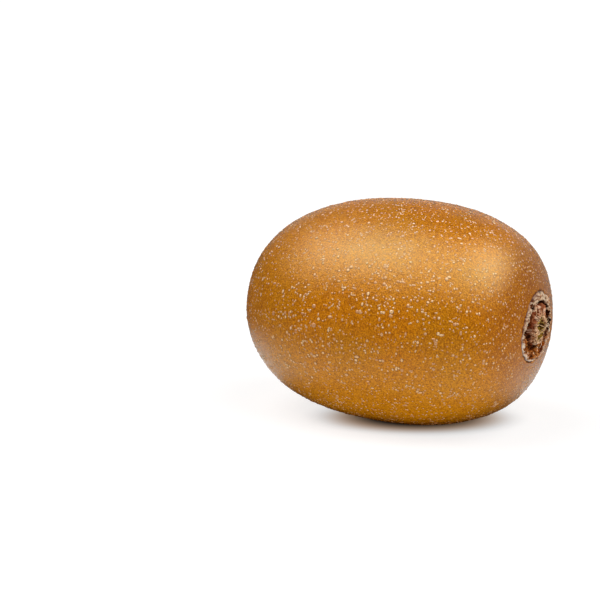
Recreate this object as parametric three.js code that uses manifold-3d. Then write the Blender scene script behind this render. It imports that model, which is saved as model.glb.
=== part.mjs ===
// A golden kiwi fruit, whole, lying on its side on the small flat spot that it rests on.
//
// Frame: millimetres, +Z up. The fruit's own axis runs along X with the stem end towards +X, raised by
// the small pitch at which a lopsided fruit comes to rest. Z = 0 is the surface that it lies on, and the
// origin is the middle of its footprint there.
//
// The fruit grew as one piece, so it is one solid: an oval barrel turned from a formula, with the corky
// stem scar and the puckered blossom end raised and sunk in its two end caps, the stubs of dried styles
// and the larger corky dots of the skin joined to it.

import * as THREE from "three";
import { mergeVertices } from "three/addons/utils/BufferGeometryUtils.js";
import Module from "manifold-3d";

// ---- The barrel ---------------------------------------------------------------------------------
const BODY_LENGTH = 70.5; // along the fruit's own axis, without the scar's ring and the blossom nub
const BODY_WIDTH = 54.0; // across, lying down
const BODY_HEIGHT = 51.5; // upright, before the flat spot is taken off
const SIDE_ROUNDNESS = 2.25; // exponent along the axis: 2 is an ellipse, more is a straighter side
const END_BLUNTNESS = 2.85; // exponent across the axis: 2 is an ellipse, more is a blunter end
const STEM_BLUNTER = 0.4; // how much blunter the stem end is, and how much rounder the blossom end
const STEM_THICKER = 0.04; // the share by which the body swells towards the stem end
const SWELLS = [
  // soft unevenness of a grown fruit: height in mm, lobes round the axis, waves along it, phase
  { height: 0.1, lobes: 3, waves: 1.1, phase: 2.1 },
  { height: 0.08, lobes: 4, waves: 0.7, phase: 0.6 },
  { height: 0.07, lobes: 6, waves: 1.6, phase: 4.0 },
];

// ---- How it lies --------------------------------------------------------------------------------
const REST_PITCH = 1.5; // degrees that the stem end is raised, which puts the weight over the spot
const MIDDLE = { x: -0.1, y: 0.1, z: 25.35 }; // body's middle: the flat spot cuts off what is lower

// ---- The stem scar: across it Y is sideways and Z is up, and angles run from +Y towards +Z --------
const SCAR_RADIUS = 7.5; // foot of the corky ring, on average
const SCAR_OVAL = 0.103; // by this share the ring is longer one way and narrower the other
const SCAR_TILT = 59; // degrees, the direction of its longer way
const SCAR_SHIFT = 1.1; // how far the ring lies off the fruit's axis
const SHIFT_SIDE = -47; // degrees, the direction in which it lies off
const LIP_HEIGHT = 0.55; // edge of the ring over the skin, on average
const LIP_LEAN = 0.2; // by this share it is higher on one side, and lower on the other
const LIP_SIDE = 20; // degrees, the side where it is highest
const LIP_WIDTH = 0.65;
const RING_SAG = 0.45; // how much lower the ring lies inside its lip, on average
const SAG_LEAN = 0.9; // by this share it sags more on one side, and less on the other
const SAG_SIDE = 235; // degrees, the side where it sags most
const HEART = { y: 1.35, z: -0.4 }; // middle of the torn inner part
const GROOVE_RADIUS = 4.85; // torn channel between the ring and the dried calyx
const GROOVE_OVAL = 0.08;
const GROOVE_TILT = 52; // degrees, the direction of the groove's longer way
const GROOVE_HALF_WIDTH = 0.85;
const GROOVE_DEPTH = 1.1;
const CALYX_HEIGHT = 0.3;
const CALYX_LOBES = 5;
const STALK_RADIUS = 2.2; // broken rim of the fruit stalk
const STALK_HALF_WIDTH = 0.9;
const STALK_HEIGHT = 0.65;
const PITH_DEPTH = 0.45; // soft middle of the stalk, dried and sunk
const SCAR_REACH = 9.4; // the finer rings of the mesh end here

// ---- The blossom end ----------------------------------------------------------------------------
const NUB_RADIUS = 2.6; // crest of the puckered ring
const NUB_HALF_WIDTH = 1.5;
const NUB_HEIGHT = 0.5;
const NUB_PLEATS = 12;
const NUB_DIMPLE = 0.55; // depth of the middle of the pucker
const NUB_REACH = 5.2;
const STYLE_COUNT = 9; // stubs of the dried styles
const STYLE_LENGTH = 1.5;
const STYLE_FOOT = 0.4; // radius where it grows out
const STYLE_TIP = 0.22;
const STYLE_SPLAY = 38; // degrees that the outermost lean out
const STYLE_SPREAD = 1.1; // radius that their feet fill
const STYLE_SINK = 0.5; // root under the skin
const STYLE_SIDES = 5;

// ---- The larger corky dots of the skin ----------------------------------------------------------
const DOT_COUNT = 210;
const DOT_RADIUS = 0.32; // at the skin, on average
const DOT_HEIGHT = 0.15;
const DOT_SIDES = 5;
const DOT_SINK = 0.3; // root under the skin
const DOT_REACH = 0.965; // the stations that the dots spread between
const DOT_CLEARANCE = 0.6; // no dot grows lower over the surface that the fruit lies on

// ---- Mesh fineness ------------------------------------------------------------------------------
const SEGMENTS = 60; // round the axis
const FLANK_RINGS = 24;
const SCAR_RINGS = 20;
const NUB_RINGS = 9;
const SEED = 7;

const HALF_LENGTH = BODY_LENGTH / 2;
const HALF_HEIGHT = BODY_HEIGHT / 2;
const TAU = 2 * Math.PI;

// Radius of the smooth barrel at station t, which runs from -1 at the blossom end to 1 at the stem end.
function barrelRadius(t) {
  const bluntness = END_BLUNTNESS + STEM_BLUNTER * t;
  const round = Math.max(0, 1 - Math.abs(t) ** SIDE_ROUNDNESS) ** (1 / bluntness);
  return HALF_HEIGHT * round * (1 + STEM_THICKER * t);
}

// The station on one end, 1 for the stem's and -1 for the blossom's, where the barrel has that radius.
function stationOf(radius, end) {
  let wide = 0.3;
  let narrow = 1;
  for (let i = 0; i < 40; i++) {
    const middle = (wide + narrow) / 2;
    if (barrelRadius(end * middle) > radius) wide = middle;
    else narrow = middle;
  }
  return (end * (wide + narrow)) / 2;
}

// A smooth hump, 1 at its crest and 0 from one half-width away on.
function hump(distance, halfWidth) {
  const share = Math.min(1, Math.abs(distance) / halfWidth);
  return 0.5 + 0.5 * Math.cos(Math.PI * share);
}

// A smooth step from 0 to 1 as x goes from one place to another, upwards or downwards.
function step(from, to, x) {
  const share = THREE.MathUtils.clamp((x - from) / (to - from), 0, 1);
  return share * share * (3 - 2 * share);
}

// The cosine between an angle and a side that is given in degrees.
function cosine(angle, side) {
  return Math.cos(angle - THREE.MathUtils.degToRad(side));
}

// How far the stem scar stands out of the end cap at a radius and an angle round the axis.
function scarRelief(radius, angle) {
  const tilt = THREE.MathUtils.degToRad(SCAR_TILT);
  const crumbs = 0.5 * Math.sin(9 * angle + 1) + 0.5 * Math.sin(14 * angle + 2.2 * radius);
  const oval = SCAR_RADIUS * (1 + SCAR_OVAL * Math.cos(2 * (angle - tilt)));
  const foot = oval + SCAR_SHIFT * cosine(angle, SHIFT_SIDE) + 0.12 * crumbs;
  const inwards = foot - radius;
  const lumps = 0.16 * crumbs * hump(inwards - 1, 1);
  const sag = RING_SAG * (1 + SAG_LEAN * cosine(angle, SAG_SIDE));
  const lip = LIP_HEIGHT * (1 + LIP_LEAN * cosine(angle, LIP_SIDE));
  const ring = lip * step(0, LIP_WIDTH, inwards) - sag * step(0.3, 2.2, inwards) + lumps;

  const y = radius * Math.cos(angle) - HEART.y;
  const z = radius * Math.sin(angle) - HEART.z;
  const around = Math.atan2(z, y);
  const out = Math.hypot(y, z);
  const lean = THREE.MathUtils.degToRad(GROOVE_TILT);
  const channel = GROOVE_RADIUS * (1 + GROOVE_OVAL * Math.cos(2 * (around - lean)));
  const torn = 0.75 + 0.3 * Math.sin(2 * around + 0.6) + 0.15 * Math.sin(7 * around);
  const groove = GROOVE_DEPTH * torn * hump(out - channel, GROOVE_HALF_WIDTH);
  const lobes = 0.3 * Math.cos(CALYX_LOBES * around + 0.8) * step(0, STALK_RADIUS, out);
  const inside = step(channel, channel - 0.8, out);
  const ground = ring * (1 - inside) + CALYX_HEIGHT * (1 + lobes) * inside;
  const broken = 1 + 0.35 * Math.sin(3 * around + 2);
  const stalk = STALK_HEIGHT * broken * hump(out - STALK_RADIUS, STALK_HALF_WIDTH);
  const pith = PITH_DEPTH * hump(out, STALK_RADIUS - 0.4);
  return ground - groove + stalk - pith;
}

// How far the puckered blossom end stands out of its end cap.
function blossomRelief(radius, angle) {
  const pleats = 1 + 0.3 * Math.cos(NUB_PLEATS * angle) * step(0.6, NUB_RADIUS, radius);
  const ring = NUB_HEIGHT * pleats * hump(radius - NUB_RADIUS, NUB_HALF_WIDTH);
  return ring - NUB_DIMPLE * hump(radius, NUB_RADIUS);
}

// How far the skin stands out or in by its soft unevenness, which fades out towards both ends.
function swell(t, angle) {
  const fade = 1 - Math.abs(t) ** 6;
  return SWELLS.reduce(
    (sum, s) => sum + s.height * Math.cos(s.lobes * angle + s.waves * Math.PI * t + s.phase),
    0,
  ) * fade;
}

// A point of the finished skin for a station, the barrel's radius there and an angle.
function skinPoint(t, angle, target = new THREE.Vector3()) {
  const radius = barrelRadius(t);
  const out = radius + swell(t, angle) * step(0, NUB_REACH, radius);
  const relief = t > 0 ? scarRelief(radius, angle) : -blossomRelief(radius, angle);
  return target.set(
    t * HALF_LENGTH + relief,
    out * Math.cos(angle) * (BODY_WIDTH / BODY_HEIGHT),
    out * Math.sin(angle),
  );
}

// The stations of the mesh's rings from the blossom end to the stem end: even steps of radius on the
// two caps, and even turns of the side between them.
function stations() {
  const nub = Array.from({ length: NUB_RINGS }, (_, i) => stationOf((i * NUB_REACH) / NUB_RINGS, -1));
  const scar = Array.from({ length: SCAR_RINGS }, (_, i) => stationOf((i * SCAR_REACH) / SCAR_RINGS, 1));
  nub[0] = -1;
  scar[0] = 1;
  const from = Math.asin(stationOf(NUB_REACH, -1));
  const to = Math.asin(stationOf(SCAR_REACH, 1));
  const flank = Array.from({ length: FLANK_RINGS + 1 }, (_, i) =>
    Math.sin(THREE.MathUtils.lerp(from, to, i / FLANK_RINGS)),
  );
  return [...nub, ...flank, ...scar.reverse()];
}

// The body: a lathe of the barrel's profile, each of its points then moved onto the finished skin.
function bodyGeometry() {
  const along = stations();
  const profile = along.map((t) => new THREE.Vector2(barrelRadius(t), t * HALF_LENGTH));
  const geometry = new THREE.LatheGeometry(profile, SEGMENTS);
  const position = geometry.getAttribute("position");
  const point = new THREE.Vector3();
  for (let segment = 0; segment <= SEGMENTS; segment++) {
    const angle = ((segment % SEGMENTS) / SEGMENTS) * TAU;
    along.forEach((t, ring) => {
      skinPoint(t, angle, point);
      position.setXYZ(segment * along.length + ring, point.x, point.y, point.z);
    });
  }
  return geometry;
}

const wasm = await Module();
wasm.setup();

// A closed three.js geometry as a manifold-3d solid, turned the right way round.
function solidOf(geometry, matrix = new THREE.Matrix4()) {
  const bare = geometry.clone().applyMatrix4(matrix);
  bare.deleteAttribute("normal");
  bare.deleteAttribute("uv");
  const merged = mergeVertices(bare, 1e-4);
  return new wasm.Manifold(
    new wasm.Mesh({
      numProp: 3,
      vertProperties: new Float32Array(merged.getAttribute("position").array),
      triVerts: new Uint32Array(merged.index.array),
    }),
  );
}

// A manifold-3d solid as a three.js geometry.
function geometryOf(solid) {
  const mesh = solid.getMesh();
  return new THREE.BufferGeometry()
    .setAttribute("position", new THREE.BufferAttribute(mesh.vertProperties, 3))
    .setIndex(new THREE.BufferAttribute(mesh.triVerts, 1));
}

// A peg or cone, modelled along +Y, as a solid that stands on a point along a direction, with its root
// sunk below that point.
function planted(geometry, at, along, height, sink) {
  const turn = new THREE.Quaternion().setFromUnitVectors(new THREE.Vector3(0, 1, 0), along);
  const middle = at.clone().addScaledVector(along, height / 2 - sink);
  return solidOf(geometry, new THREE.Matrix4().compose(middle, turn, new THREE.Vector3(1, 1, 1)));
}

// Seeded random numbers from 0 to 1.
function randomFrom(seed) {
  let state = seed >>> 0;
  return () => {
    state = (Math.imul(state, 1664525) + 1013904223) >>> 0;
    return state / 2 ** 32;
  };
}

// The stubs of the dried styles, in the middle of the blossom end's pucker.
function styleStubs() {
  return Array.from({ length: STYLE_COUNT }, (_, i) => {
    const share = Math.sqrt(i / (STYLE_COUNT - 1));
    const angle = i * 2.4;
    const lean = THREE.MathUtils.degToRad(STYLE_SPLAY * share);
    const along = new THREE.Vector3(
      -Math.cos(lean),
      Math.sin(lean) * Math.cos(angle),
      Math.sin(lean) * Math.sin(angle),
    );
    const at = skinPoint(stationOf(Math.max(0.05, STYLE_SPREAD * share), -1), angle);
    const height = STYLE_LENGTH * (1 - 0.25 * share) + STYLE_SINK;
    const stub = new THREE.CylinderGeometry(STYLE_TIP, STYLE_FOOT, height, STYLE_SIDES);
    return planted(stub, at, along, height, STYLE_SINK);
  });
}

// The outward direction of the skin at a station and an angle.
function skinNormal(t, angle) {
  const near = 1e-3;
  const along = skinPoint(t + near, angle).sub(skinPoint(t - near, angle));
  const round = skinPoint(t, angle + near).sub(skinPoint(t, angle - near));
  return round.cross(along).normalize();
}

// The larger corky dots, low cones spread evenly over the flank by the golden angle and nudged at random.
function corkyDots() {
  const random = randomFrom(SEED);
  const golden = Math.PI * (3 - Math.sqrt(5));
  const dots = [];
  for (let i = 0; i < DOT_COUNT; i++) {
    const t = DOT_REACH * (-1 + (2 * (i + 0.5)) / DOT_COUNT) + 0.015 * (random() - 0.5);
    const angle = i * golden + 0.12 * (random() - 0.5);
    const size = 0.75 + 0.5 * random();
    const at = skinPoint(t, angle);
    if (at.z + MIDDLE.z < DOT_CLEARANCE) continue;
    const height = DOT_HEIGHT + DOT_SINK;
    const cone = new THREE.ConeGeometry((DOT_RADIUS * size * height) / DOT_HEIGHT, height, DOT_SIDES);
    dots.push(planted(cone, at, skinNormal(t, angle), height, DOT_SINK));
  }
  return dots;
}

// The whole fruit as one solid, pitched and set down as it lies, with the flat spot cut at Z = 0.
function fruitSolid() {
  const grown = wasm.Manifold.union([solidOf(bodyGeometry()), ...styleStubs(), ...corkyDots()]);
  return grown
    .rotate([0, -REST_PITCH, 0])
    .translate([MIDDLE.x, MIDDLE.y, MIDDLE.z])
    .trimByPlane([0, 0, 1], 0);
}

const skin = new THREE.MeshStandardMaterial({ color: 0xb0741c, roughness: 0.48, metalness: 0 });
const fruit = new THREE.Mesh(geometryOf(fruitSolid()), skin);
fruit.name = "kiwi_fruit";

const part = new THREE.Group();
part.add(fruit);

export default part;
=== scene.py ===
"""A whole golden kiwi fruit lying on its side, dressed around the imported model.

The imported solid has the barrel, its two ends and the larger dots. This script draws them again, finely,
from the same formulas, and adds thousands of fine dots, crumbling cork, torn fibres and colours.
Lengths are in mm, until a mesh is made in metres.
"""

import itertools
import math
from types import SimpleNamespace

import bpy
import numpy as np
from mathutils import Matrix, Vector, noise
from mathutils.kdtree import KDTree


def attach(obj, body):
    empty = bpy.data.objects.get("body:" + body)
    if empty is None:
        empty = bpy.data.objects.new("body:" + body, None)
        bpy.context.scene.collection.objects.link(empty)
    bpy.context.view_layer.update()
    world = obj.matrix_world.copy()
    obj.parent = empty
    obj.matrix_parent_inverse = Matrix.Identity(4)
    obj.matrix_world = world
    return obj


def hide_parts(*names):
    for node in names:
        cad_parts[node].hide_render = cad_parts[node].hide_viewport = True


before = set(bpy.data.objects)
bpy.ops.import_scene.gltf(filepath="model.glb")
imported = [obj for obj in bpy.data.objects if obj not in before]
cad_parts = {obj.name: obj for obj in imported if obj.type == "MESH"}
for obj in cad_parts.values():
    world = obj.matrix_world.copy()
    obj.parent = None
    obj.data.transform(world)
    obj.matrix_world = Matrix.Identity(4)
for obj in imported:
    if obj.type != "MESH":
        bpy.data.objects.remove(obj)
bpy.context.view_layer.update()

MM = 0.001
TAU = 2 * math.pi

# ---- The form, as in the part's source ----
BODY_LENGTH = 70.5
BODY_WIDTH = 54.0
BODY_HEIGHT = 51.5
SIDE_ROUNDNESS = 2.25
END_BLUNTNESS = 2.85
STEM_BLUNTER = 0.4
STEM_THICKER = 0.04
SWELLS = ((0.1, 3, 1.1, 2.1), (0.08, 4, 0.7, 0.6), (0.07, 6, 1.6, 4.0))  # height, lobes, waves, phase
REST_PITCH = math.radians(1.5)
MIDDLE = np.array((-0.1, 0.1, 25.35))  # of the body, over the surface that it lies on

SCAR_RADIUS = 7.5
SCAR_OVAL = 0.103
SCAR_TILT = math.radians(59)
SCAR_SHIFT = 1.1
SHIFT_SIDE = math.radians(-47)
LIP_HEIGHT = 0.55
LIP_LEAN = 0.2
LIP_SIDE = math.radians(20)
LIP_WIDTH = 0.65
RING_SAG = 0.45
SAG_LEAN = 0.9
SAG_SIDE = math.radians(235)
HEART = (1.35, -0.4)
GROOVE_RADIUS = 4.85
GROOVE_OVAL = 0.08
GROOVE_TILT = math.radians(52)
GROOVE_HALF_WIDTH = 0.85
GROOVE_DEPTH = 1.1
CALYX_HEIGHT = 0.3
CALYX_LOBES = 5
STALK_RADIUS = 2.2
STALK_HALF_WIDTH = 0.9
STALK_HEIGHT = 0.65
PITH_DEPTH = 0.45

NUB_RADIUS = 2.6
NUB_HALF_WIDTH = 1.5
NUB_HEIGHT = 0.5
NUB_PLEATS = 12
NUB_DIMPLE = 0.55
NUB_REACH = 5.2
STYLE_COUNT = 9
STYLE_LENGTH = 1.5
STYLE_FOOT = 0.4
STYLE_TIP = 0.22
STYLE_SPLAY = math.radians(38)
STYLE_SPREAD = 1.1

LARGE_DOT_COUNT = 210
LARGE_DOT_RADIUS = 0.32
LARGE_DOT_SEED = 7
DOT_REACH = 0.965
DOT_CLEARANCE = 0.6

HALF_LENGTH = BODY_LENGTH / 2
HALF_HEIGHT = BODY_HEIGHT / 2
OVAL = BODY_WIDTH / BODY_HEIGHT

# ---- What the camera sees ----
IMAGE_SIZE = 600
FOCAL_PIXELS = 2629
SENSOR_WIDTH = 36.0
CAMERA_DISTANCE = 610.0  # from the body's middle
CAMERA_DIRECTION = (-63.7, 14.0)  # azimuth and elevation
MIDDLE_PIXEL = (395.5, 309.4)  # the body's middle in the picture


# ---- Formulas ----
NOISE_FADE = 1.0  # from each octave of noise to the next
NOISE_FINER = 2.0
DIMPLES = ((0.035, 2.6, 0.0), (0.05, 7.0, 31.0))  # height, size, noise offset


def step(start, end, x):
    """0 to 1, smoothly, as x goes from start up or down to end."""
    share = np.clip((x - start) / (end - start), 0.0, 1.0)
    return share * share * (3.0 - 2.0 * share)


def hump(distance, half_width):
    """A smooth hump, 1 at its crest and 0 from a half-width away on."""
    return 0.5 + 0.5 * np.cos(np.pi * np.minimum(1.0, np.abs(distance) / half_width))


def barrel_radius(t):
    """Radius of the smooth barrel at station t: -1 is the blossom end, 1 the stem end."""
    bluntness = END_BLUNTNESS + STEM_BLUNTER * t
    rounded = np.maximum(0.0, 1.0 - np.abs(t) ** SIDE_ROUNDNESS) ** (1.0 / bluntness)
    return HALF_HEIGHT * rounded * (1.0 + STEM_THICKER * t)


def station_of(radius, end):
    """The station of each radius on one end, 1 for the stem's and -1 for the blossom's."""
    radius = np.asarray(radius, dtype=float)
    wide = np.full(radius.shape, 0.3)
    narrow = np.ones(radius.shape)
    for _ in range(40):
        middle = (wide + narrow) / 2
        outside = barrel_radius(end * middle) > radius
        wide = np.where(outside, middle, wide)
        narrow = np.where(outside, narrow, middle)
    return np.where(radius <= 0, end, end * (wide + narrow) / 2)


def scar_foot(radius, angle):
    """Radius of the corky ring's outer foot."""
    crumbs = 0.5 * np.sin(9 * angle + 1) + 0.5 * np.sin(14 * angle + 2.2 * radius)
    oval = SCAR_RADIUS * (1 + SCAR_OVAL * np.cos(2 * (angle - SCAR_TILT)))
    return oval + SCAR_SHIFT * np.cos(angle - SHIFT_SIDE) + 0.12 * crumbs, crumbs


def heart_polar(radius, angle):
    """Distance and direction from the middle of the scar's inner part."""
    y = radius * np.cos(angle) - HEART[0]
    z = radius * np.sin(angle) - HEART[1]
    return np.hypot(y, z), np.arctan2(z, y)


def groove_radius(around):
    """Radius of the torn groove round the inner part."""
    return GROOVE_RADIUS * (1 + GROOVE_OVAL * np.cos(2 * (around - GROOVE_TILT)))


def scar_relief(radius, angle):
    """How far the stem scar stands out of the end cap."""
    foot, crumbs = scar_foot(radius, angle)
    inwards = foot - radius
    lumps = 0.16 * crumbs * hump(inwards - 1, 1)
    sag = RING_SAG * (1 + SAG_LEAN * np.cos(angle - SAG_SIDE))
    lip = LIP_HEIGHT * (1 + LIP_LEAN * np.cos(angle - LIP_SIDE))
    ring = lip * step(0, LIP_WIDTH, inwards) - sag * step(0.3, 2.2, inwards) + lumps
    out, around = heart_polar(radius, angle)
    channel = groove_radius(around)
    torn = 0.75 + 0.3 * np.sin(2 * around + 0.6) + 0.15 * np.sin(7 * around)
    groove = GROOVE_DEPTH * torn * hump(out - channel, GROOVE_HALF_WIDTH)
    lobes = 0.3 * np.cos(CALYX_LOBES * around + 0.8) * step(0, STALK_RADIUS, out)
    inside = step(channel, channel - 0.8, out)
    ground = ring * (1 - inside) + CALYX_HEIGHT * (1 + lobes) * inside
    broken = 1 + 0.35 * np.sin(3 * around + 2)
    stalk = STALK_HEIGHT * broken * hump(out - STALK_RADIUS, STALK_HALF_WIDTH)
    pith = PITH_DEPTH * hump(out, STALK_RADIUS - 0.4)
    return ground - groove + stalk - pith


def blossom_relief(radius, angle):
    """How far the puckered blossom end stands out of its end cap."""
    pleats = 1 + 0.3 * np.cos(NUB_PLEATS * angle) * step(0.6, NUB_RADIUS, radius)
    ring = NUB_HEIGHT * pleats * hump(radius - NUB_RADIUS, NUB_HALF_WIDTH)
    return ring - NUB_DIMPLE * hump(radius, NUB_RADIUS)


def swell(t, angle):
    """Soft unevenness of the side, fading towards both ends."""
    waves = sum(
        height * np.cos(lobes * angle + along * np.pi * t + phase)
        for height, lobes, along, phase in SWELLS
    )
    return waves * (1 - np.abs(t) ** 6)


def fruit_point(t, angle, relief=0.0):
    """Points on the body, in its own frame, with the stem end towards +X."""
    radius = barrel_radius(t)
    out = radius + swell(t, angle) * step(0, NUB_REACH, radius)
    x = t * HALF_LENGTH + relief * np.where(t > 0, 1, -1)
    return np.stack((x, out * np.cos(angle) * OVAL, out * np.sin(angle)), axis=-1)


def lay_down(points):
    """Points on the body, pitched and placed as the fruit lies."""
    x, y, z = np.moveaxis(points, -1, 0)
    level, rise = math.cos(REST_PITCH), math.sin(REST_PITCH)
    return np.stack((x * level - z * rise, y, x * rise + z * level), axis=-1) + MIDDLE


def fruit_normal(t, angle):
    """Outward directions of the smooth body."""
    near = 1e-3
    along = fruit_point(t + near, angle) - fruit_point(t - near, angle)
    across = fruit_point(t, angle + near) - fruit_point(t, angle - near)
    normal = np.cross(across, along)
    return normal / np.linalg.norm(normal, axis=-1, keepdims=True)


def rough(points, size, octaves, offset):
    """Fractal noise at points, about -1 to 1, with features of about the given size."""
    scaled = (points / size + offset).reshape(-1, 3)
    heights = [noise.fractal(Vector(p), NOISE_FADE, NOISE_FINER, octaves) for p in scaled]
    return np.array(heights).reshape(points.shape[:-1])


def dimples(points):
    """Height of the skin's faint unevenness at points."""
    return sum(height * rough(points, size, 2, offset) for height, size, offset in DIMPLES)


# ---- Meshes ----
def new_piece(name, points, faces, material, values):
    """A smooth-shaded object, with named values at its points for the material."""
    mesh = bpy.data.meshes.new(name)
    mesh.from_pydata((points.reshape(-1, 3) * MM).tolist(), [], faces)
    mesh.polygons.foreach_set("use_smooth", np.ones(len(mesh.polygons), dtype=bool))
    for key, numbers in values.items():
        kind, field = ("FLOAT", "value") if numbers.ndim == 1 else ("FLOAT_VECTOR", "vector")
        attribute = mesh.attributes.new(key, kind, "POINT")
        attribute.data.foreach_set(field, np.ascontiguousarray(numbers, dtype=np.float32).ravel())
    mesh.materials.append(material)
    mesh.update()
    piece = bpy.data.objects.new(name, mesh)
    bpy.context.scene.collection.objects.link(piece)
    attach(piece, "root")
    return piece


def ring_faces(rings, sides, first=0):
    """Quads between neighbouring rings of points."""
    faces = []
    for low in range(first, first + (rings - 1) * sides, sides):
        for side in range(sides):
            after = (side + 1) % sides
            faces.append((low + side, low + after, low + sides + after, low + sides + side))
    return faces


def fan_faces(centre, first, sides, flip=False):
    """Triangles from a centre point to a ring of points."""
    faces = []
    for side in range(sides):
        after = first + (side + 1) % sides
        pair = (after, first + side) if flip else (first + side, after)
        faces.append((centre, *pair))
    return faces


def closed_faces(rings, sides, flip=False):
    """Faces of rings of points between two poles, the first point and the last."""
    last = 1 + (rings - 1) * sides
    walls = ring_faces(rings, sides, first=1)
    if flip:
        walls = [tuple(reversed(face)) for face in walls]
    return [*fan_faces(0, 1, sides, not flip), *walls, *fan_faces(last + sides, last, sides, flip)]


# ---- Materials ----
def srgb(red, green, blue):
    """A linear colour from sRGB numbers up to 255."""
    shares = (channel / 255 for channel in (red, green, blue))
    return (*(s / 12.92 if s <= 0.04045 else ((s + 0.055) / 1.055) ** 2.4 for s in shares), 1.0)


class Nodes:
    """Small helpers around one node tree."""

    def __init__(self, tree):
        self.tree = tree

    def fill(self, made, inputs):
        """A node's inputs, linked to sockets or set to numbers."""
        for key, value in inputs.items():
            if isinstance(value, bpy.types.NodeSocket):
                self.tree.links.new(value, made.inputs[key])
            else:
                made.inputs[key].default_value = value

    def new(self, kind, inputs, **settings):
        """A new node's first output, with its inputs and settings made."""
        made = self.tree.nodes.new(kind)
        for key, value in settings.items():
            setattr(made, key, value)
        self.fill(made, inputs)
        return made.outputs[0]

    def math(self, operation, first, second):
        """A sum, product or other result of two values."""
        return self.new("ShaderNodeMath", {0: first, 1: second}, operation=operation)

    def ramp(self, value, low, high, to_low=0.0, to_high=1.0):
        """A value moved smoothly from one range to another."""
        inputs = {0: value, 1: low, 2: high, 3: to_low, 4: to_high}
        return self.new("ShaderNodeMapRange", inputs, interpolation_type="SMOOTHSTEP")

    def mix(self, share, first, second):
        """Two colours, mixed by a share."""
        inputs = {0: share, 6: first, 7: second}
        return self.new("ShaderNodeMix", inputs, data_type="RGBA").node.outputs[2]


class Shading(Nodes):
    """Helpers around one material, with lengths in mm."""

    def __init__(self, name):
        self.material = bpy.data.materials.new(name)
        self.material.use_nodes = True
        super().__init__(self.material.node_tree)
        place = self.new("ShaderNodeTexCoord", {}).node.outputs["Object"]
        self.place = self.new("ShaderNodeVectorMath", {0: place, "Scale": 1 / MM}, operation="SCALE")

    def noise(self, size, detail, roughness=0.5):
        """Noise from 0 to 1, with features of about the size."""
        settings = {"Vector": self.place, "Scale": 1 / size, "Detail": detail, "Roughness": roughness}
        return self.new("ShaderNodeTexNoise", settings)

    def specks(self, spacing, reach, edge):
        """Scattered round specks, 1 inside, with radii up to a share of the spacing."""
        scattered = self.new("ShaderNodeTexVoronoi", {"Vector": self.place, "Scale": 1 / spacing})
        own_reach = self.math("MULTIPLY", scattered.node.outputs["Color"], reach)
        return self.ramp(self.math("SUBTRACT", scattered, own_reach), 0.0, -edge)

    def value(self, name, output="Fac"):
        """A value or colour that is stored at the mesh's points."""
        return self.new("ShaderNodeAttribute", {}, attribute_name=name).node.outputs[output]

    def bump(self, height, distance, below=None):
        """A bump, on top of another one, where a height of 1 is worth the distance."""
        inputs = {"Height": height, "Distance": distance * MM}
        if below:
            inputs["Normal"] = below
        return self.new("ShaderNodeBump", inputs)

    def finish(self, **inputs):
        """The material, with the shader's own sockets set or linked."""
        shader = self.tree.nodes["Principled BSDF"]
        self.fill(shader, {key.replace("_", " "): value for key, value in inputs.items()})
        return self.material


GOLD = (0.555, 0.166, 0.0001, 1)
OLIVE = (0.49, 0.166, 0.0001, 1)
YELLOW = (0.55, 0.205, 0.0002, 1)
RUSSET = (0.40, 0.11, 0.002, 1)
STEM_BROWN = (0.36, 0.092, 0.006, 1)
FRECKLE = (0.30, 0.078, 0.0001, 1)
GLINT = (0.74, 0.28, 0.004, 1)
SPECK = (0.68, 0.30, 0.05, 1)
WAX = (0.95, 0.96, 0.44, 1)
# Dark brown at each dot's foot, partly the dot's own ring and partly painted shade where it meets the
# skin; also the dark middles
DOT_RIM = (0.13, 0.03, 0.001, 1)
DOT_CROWN = (0.84, 0.5, 0.22, 1)
DOT_SHEEN = (1.0, 0.95, 0.62, 1)
DOT_BROWN = (0.56, 0.23, 0.08, 1)

CLOUD_SIZE = 14.0  # of the soft change between gold and olive
YELLOW_LEVELS = (23.0, 7.0)  # down from the first to the second the skin turns yellower
BLOTCH_SIZE = 3.2
STEM_CLOUD_SIZE = 5.0
GRAIN_SIZE = 0.36  # of the finest freckles and glints
SPECK_SPACING = 0.7
SPECK_REACH = 0.3
SPECK_EDGE = 0.05
SPECK_HEIGHT = 0.04
PEBBLE_SIZE = 0.28
PEBBLE_HEIGHT = 0.11
RIPPLE_SIZE = 2.4
RIPPLE_HEIGHT = 0.08
GLOSS_SIZE = 1.1
SKIN_ROUGHNESS = (0.18, 0.25)  # the least and the most
DOT_ROUGHNESS = 0.22
CORK_GRAIN_SIZE = 0.22
CORK_GRAIN_HEIGHT = 0.12
CORK_ROUGHNESS = 0.9


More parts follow.
